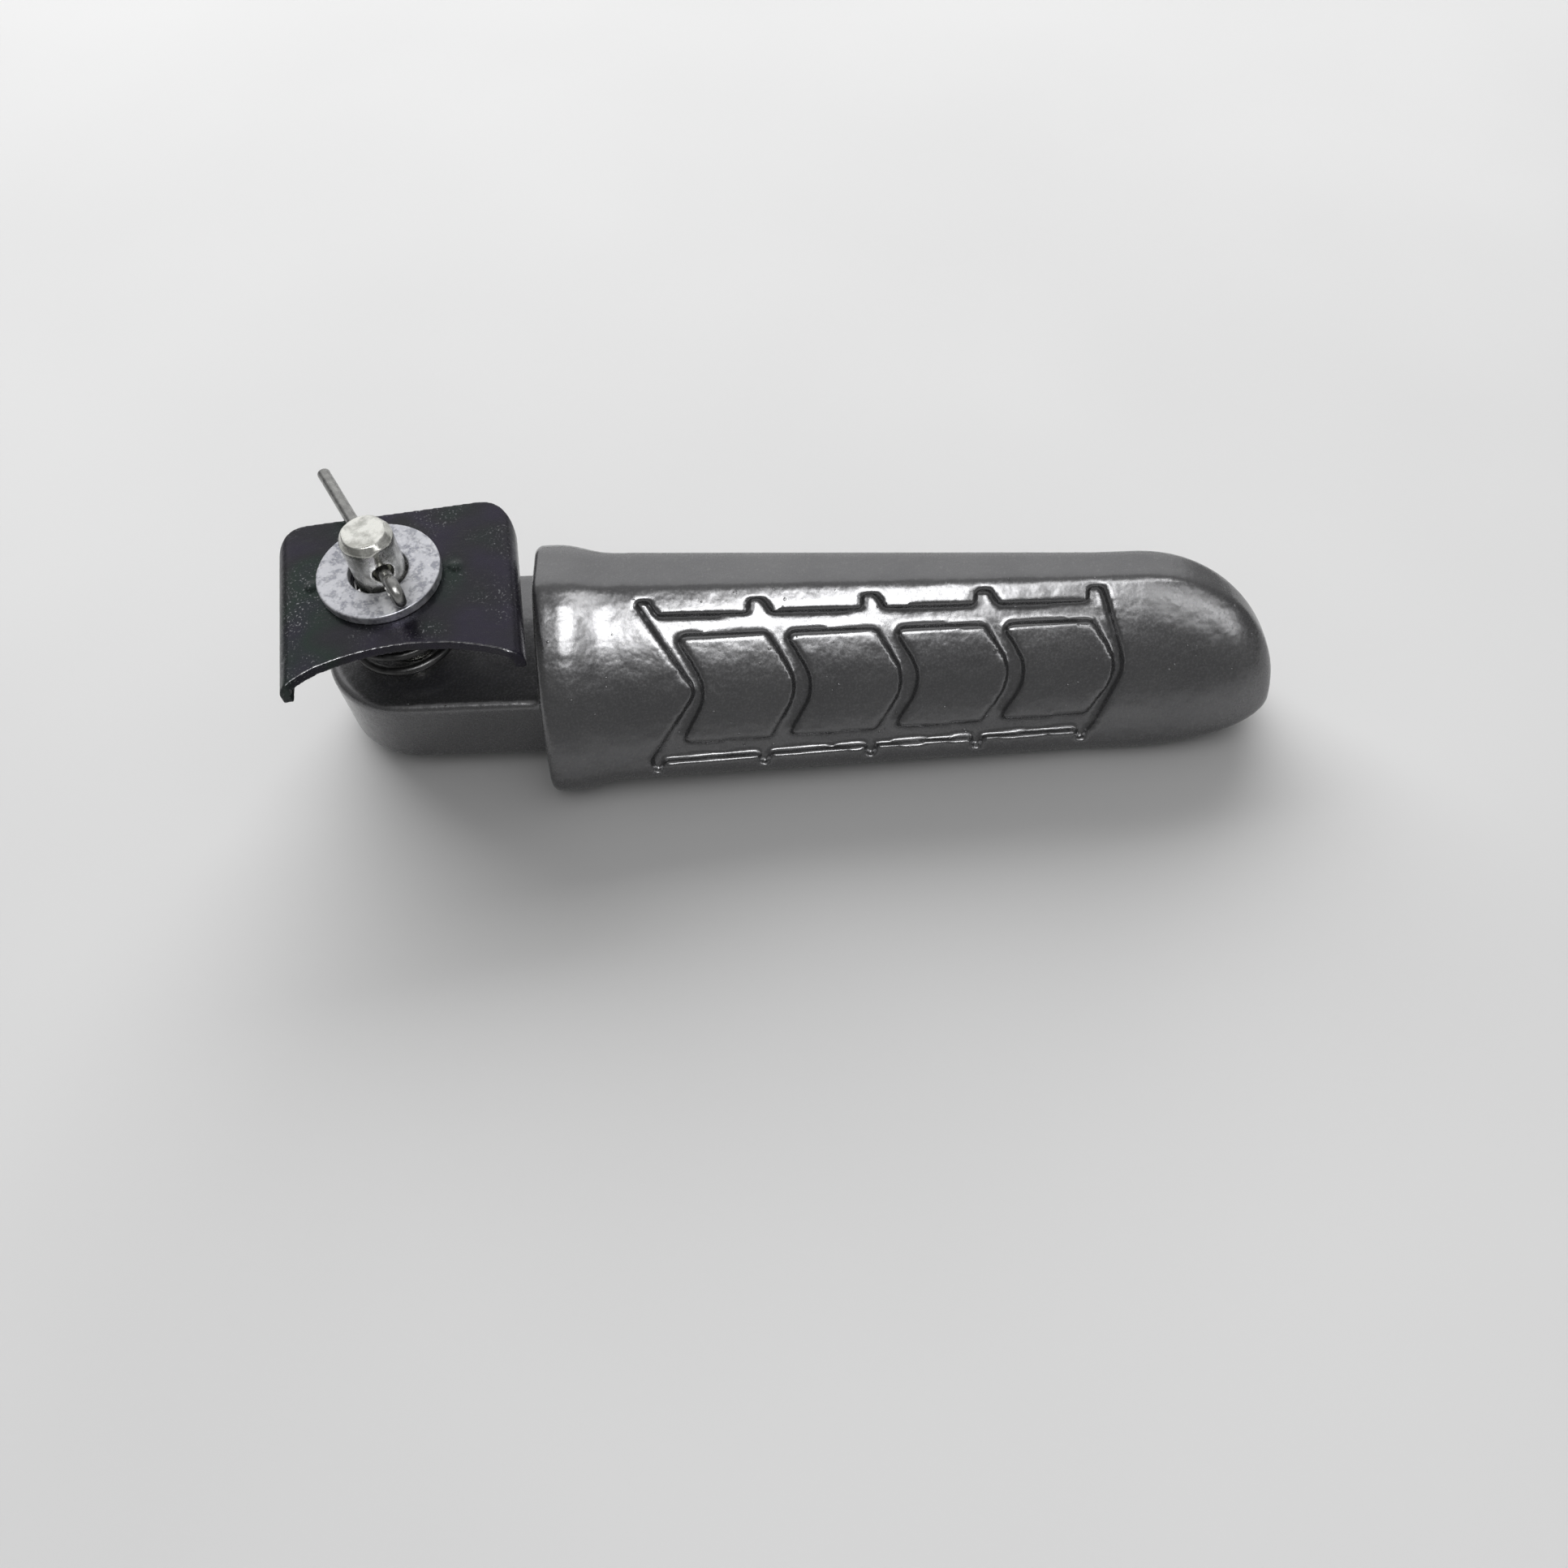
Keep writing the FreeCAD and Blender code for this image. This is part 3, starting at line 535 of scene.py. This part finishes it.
def make_spangled_zinc():
    """Makes the washer's mottled zinc."""
    spangled_zinc, tree, shader, place = new_finish("spangled_zinc")
    warp = add_node(tree, "ShaderNodeTexNoise", {"Vector": place, "Scale": 0.6, "Detail": 3.0})
    bending = add_node(tree, "ShaderNodeVectorMath", {0: warp.outputs["Color"], 1: place}, operation="ADD")
    bent = bending.outputs["Vector"]
    crystals = add_node(tree, "ShaderNodeTexVoronoi", {"Vector": bent, "Scale": 0.45}).outputs
    crystal_grey = add_ramp(tree, crystals["Color"], [(0.25, DARK_CRYSTAL), (0.75, PALE_CRYSTAL)])
    leaves = add_noise(tree, bent, 0.55, 4.0, 0.6)
    leaf_grey = add_ramp(tree, leaves, [(0.44, DARK_LEAF), (0.53, PALE_LEAF)])
    mottled = mix_shades(tree, 0.6, crystal_grey, leaf_grey)
    speckle = add_ramp(tree, add_noise(tree, place, 2.2, 3.0), [(0.50, 0.0), (0.75, 1.0)])
    shade = mix_shades(tree, speckle, mottled, BRIGHT_SPECK)
    gloss = add_ramp(tree, crystals["Color"], [(0.1, 0.34), (0.9, 0.52)])
    set_inputs(tree, shader, {"Base Color": shade, "Metallic": 0.75, "Roughness": gloss})
    grain = add_noise(tree, place, 3.0, 3.0)
    add_bumps(tree, shader, (crystals["Distance"], 0.05 * MM), (grain, 0.012 * MM))
    return spangled_zinc


# %% Washer
washer = softened_copy("flat_washer", "zinc_washer", voxel=0.16 * MM, rounds=3)
place_piece(washer, make_spangled_zinc(), "flat_washer", "washer")

# %% [markdown]
# ## The pressed plate
# The plate is steel with black plating that shimmers purple, blue and green. The colours drift over the
# plate, so slow noise runs through a ramp of dark tints. Scratches are noise stretched along one direction,
# and specks gather in patches. Along the front edge the plating is gone to bare steel, and the same bright
# band is also a painted highlight: it is laid where the rounded edge faces forwards and up. It follows the
# shape, so it is worked out for each vertex and handed to the finish as an attribute. The plate's left side
# leans inwards a little towards the front, so its vertices are moved before that band is worked out.

# %% Plate finish
PLATE_TINTS = [
    (0.34, (0.017, 0.017, 0.019)),
    (0.44, (0.020, 0.017, 0.030)),
    (0.52, (0.016, 0.016, 0.020)),
    (0.60, (0.012, 0.022, 0.018)),
    (0.68, (0.016, 0.016, 0.025)),
]
SCRATCH_GREY = (0.035, 0.035, 0.037)
SPECK_GREY = (0.20, 0.20, 0.21)
# Bright bare steel for the front edge; there it also stands in for a painted highlight.
BARE_STEEL_AND_HIGHLIGHT = (0.45, 0.45, 0.46)
SCRATCH_TURN = (0.0, 0.0, 0.5)
SCRATCH_STRETCH = (0.25, 2.6, 2.6)


def add_product(tree, first, second):
    """Multiplies two shares."""
    return add_node(tree, "ShaderNodeMath", {0: first, 1: second}, operation="MULTIPLY").outputs["Value"]


def add_scratches(tree, place):
    """Gives the share of fine scratches that all run one way."""
    stretch_inputs = {"Vector": place, "Rotation": SCRATCH_TURN, "Scale": SCRATCH_STRETCH}
    stretched = add_node(tree, "ShaderNodeMapping", stretch_inputs).outputs["Vector"]
    return add_ramp(tree, add_noise(tree, stretched, 1.6, 4.0, 0.7), [(0.60, 0.0), (0.72, 1.0)])


def add_specks(tree, place):
    """Gives the share of small specks that gather in patches."""
    patches = add_ramp(tree, add_noise(tree, place, 0.12, 2.0), [(0.45, 0.0), (0.65, 1.0)])
    specks = add_ramp(tree, add_noise(tree, place, 2.6, 3.0, 0.6), [(0.60, 0.0), (0.66, 1.0)])
    return add_product(tree, patches, specks)


def add_wear_and_highlight(tree, place):
    """Gives the share of bare steel and painted highlight on the front edge, from the plate's attribute."""
    rubbed_and_highlit = add_node(tree, "ShaderNodeAttribute", {}, attribute_name="wear_and_highlight").outputs["Fac"]
    patchy = add_ramp(tree, add_noise(tree, place, 0.9, 4.0, 0.7), [(0.42, 0.15), (0.62, 1.0)])
    return add_product(tree, rubbed_and_highlit, patchy)


def make_black_plate():
    """Makes the plate's shimmering, scratched black plating, bare steel and a painted highlight on its front
    edge.
    """
    black_plate, tree, shader, place = new_finish("black_plate")
    shimmer = add_ramp(tree, add_noise(tree, place, 0.06, 2.0), PLATE_TINTS)
    scratched = mix_shades(tree, add_scratches(tree, place), shimmer, SCRATCH_GREY)
    specked = mix_shades(tree, add_specks(tree, place), scratched, SPECK_GREY)
    # The front edge turns bright: partly plating gone to bare steel, partly a painted highlight.
    worn_and_highlit = mix_shades(tree, add_wear_and_highlight(tree, place), specked, BARE_STEEL_AND_HIGHLIGHT)
    gloss = add_ramp(tree, add_noise(tree, place, 1.0, 4.0, 0.65), [(0.3, 0.20), (0.7, 0.34)])
    set_inputs(tree, shader, {"Base Color": worn_and_highlit, "Metallic": 0.6, "Roughness": gloss})
    set_inputs(tree, shader, {"Specular IOR Level": 0.45})
    waves = add_noise(tree, place, 0.4, 2.0)
    grain = add_noise(tree, place, 3.2, 3.0)
    add_bumps(tree, shader, (waves, 0.08 * MM), (grain, 0.015 * MM))
    return black_plate


# %% Plate
LEFT_LIMITS = (-8.0 * MM, -14.0 * MM)
LEAN_LIMITS = (12.0 * MM, -20.0 * MM)
SIDE_LEAN = 1.4 * MM
EDGE_NORMAL = Vector((0.08, -0.60, 0.80))
EDGE_LIMITS = (0.87, 0.96)
WEAR_AND_HIGHLIGHT_LIMITS = (-6.0 * MM, -9.0 * MM)
plate = softened_copy("swivel_plate", "pressed_plate", voxel=0.22 * MM, rounds=4)
for vertex in plate.data.vertices:
    leftness = share_between(vertex.co.x, LEFT_LIMITS)
    vertex.co.x += SIDE_LEAN * leftness * share_between(vertex.co.y, LEAN_LIMITS)
# The front edge band is bare steel and a painted highlight: vertices whose normals face forwards and up get
# it.
edge_wear_and_highlight = plate.data.attributes.new("wear_and_highlight", "FLOAT", "POINT")
for mark, vertex in zip(edge_wear_and_highlight.data, plate.data.vertices):
    facing = share_between(vertex.normal.dot(EDGE_NORMAL), EDGE_LIMITS)
    mark.value = facing * share_between(vertex.co.y, WEAR_AND_HIGHLIGHT_LIMITS)
place_piece(plate, make_black_plate(), "swivel_plate", "plate")

# %% [markdown]
# ## The coil spring
# A spring follows a rule, a helix, so Geometry Nodes build it from named sizes: a spiral curve, a round wire
# along it, and flat ends where the wire is ground off.

# %% Spring tree
def build_spring_tree():
    """Builds the node tree that winds a coil spring with ground ends."""
    sizes = {name: "Float" for name in ("Turns", "Coil Radius", "Wire Radius", "Height", "Lift")}
    sockets = {"Base": "Geometry", **sizes, "Wire": "Material"}
    tree, given = new_tree("coil_winding", sockets, "Spring")
    helix_inputs = {
        "Resolution": 48,
        "Rotations": given["Turns"],
        "Start Radius": given["Coil Radius"],
        "End Radius": given["Coil Radius"],
        "Height": given["Height"],
        "Reverse": True,
    }
    helix = add_node(tree, "GeometryNodeCurveSpiral", helix_inputs)
    ring_inputs = {"Resolution": 16, "Radius": given["Wire Radius"]}
    ring = add_node(tree, "GeometryNodeCurvePrimitiveCircle", ring_inputs)
    tube_inputs = {"Curve": helix.outputs["Curve"], "Profile Curve": ring.outputs["Curve"], "Fill Caps": True}
    tube = add_node(tree, "GeometryNodeCurveToMesh", tube_inputs).outputs["Mesh"]
    spot = add_node(tree, "GeometryNodeInputPosition", {}).outputs["Position"]
    parts = add_node(tree, "ShaderNodeSeparateXYZ", {"Vector": spot}).outputs
    ground_inputs = {"Value": parts["Z"], "Min": 0.0, "Max": given["Height"]}
    ground = add_node(tree, "ShaderNodeClamp", ground_inputs).outputs["Result"]
    raised = add_node(tree, "ShaderNodeMath", {0: ground, 1: given["Lift"]}, operation="ADD").outputs["Value"]
    there = add_node(tree, "ShaderNodeCombineXYZ", {"X": parts["X"], "Y": parts["Y"], "Z": raised})
    move_inputs = {"Geometry": tube, "Position": there.outputs["Vector"]}
    moved = add_node(tree, "GeometryNodeSetPosition", move_inputs)
    end_tree(tree, "Spring", moved.outputs["Geometry"], given["Wire"])
    return tree


# %% Spring finish
DARK_SPRING = (0.04, 0.04, 0.04)
PALE_SPRING = (0.08, 0.08, 0.08)


def make_spring_steel():
    """Makes the dark, drawn wire of the spring."""
    spring_steel, tree, shader, place = new_finish("spring_steel")
    shade = add_ramp(tree, add_noise(tree, place, 0.7, 4.0), [(0.3, DARK_SPRING), (0.7, PALE_SPRING)])
    gloss = add_ramp(tree, add_noise(tree, place, 2.0, 3.0), [(0.3, 0.25), (0.7, 0.42)])
    set_inputs(tree, shader, {"Base Color": shade, "Metallic": 0.9, "Roughness": gloss})
    add_bumps(tree, shader, (add_noise(tree, place, 3.0, 2.0), 0.01 * MM))
    return spring_steel


# %% Spring
WIRE_RADIUS = 0.8 * MM
PITCH = 3.8 * MM
spring_low, spring_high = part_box("coil_spring")
spring_height = spring_high.z - spring_low.z
spring_settings = {
    "Turns": spring_height / PITCH,
    "Coil Radius": spring_high.y - WIRE_RADIUS,
    "Wire Radius": WIRE_RADIUS,
    "Height": spring_height,
    "Lift": spring_low.z,
    "Wire": make_spring_steel(),
}
spring_seed = bpy.data.meshes.new("spring_seed")
spring = grown_mesh("wound_spring", spring_seed, build_spring_tree(), spring_settings)
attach(spring, "footpeg")
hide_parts("coil_spring")
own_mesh(spring)

# %% [markdown]
# ## The cotter pin
# Its two half-round legs lie flat against each other. The CAD shape is right as it is, so it only gets a
# finish: drawn zinc wire, a little duller than the pin.

# %% Cotter
DARK_WIRE = (0.20, 0.20, 0.195)
PALE_WIRE = (0.34, 0.34, 0.33)


def make_cotter_wire():
    """Makes the cotter pin's dull, drawn zinc wire."""
    cotter_wire, tree, shader, place = new_finish("cotter_wire")
    shade = add_ramp(tree, add_noise(tree, place, 0.9, 4.0), [(0.3, DARK_WIRE), (0.7, PALE_WIRE)])
    gloss = add_ramp(tree, add_noise(tree, place, 2.0, 3.0), [(0.3, 0.22), (0.7, 0.38)])
    set_inputs(tree, shader, {"Base Color": shade, "Metallic": 0.95, "Roughness": gloss})
    add_bumps(tree, shader, (add_noise(tree, place, 1.5, 2.0), 0.006 * MM))
    return cotter_wire


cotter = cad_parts["cotter_pin"]
cotter.data.materials.clear()
cotter.data.materials.append(make_cotter_wire())
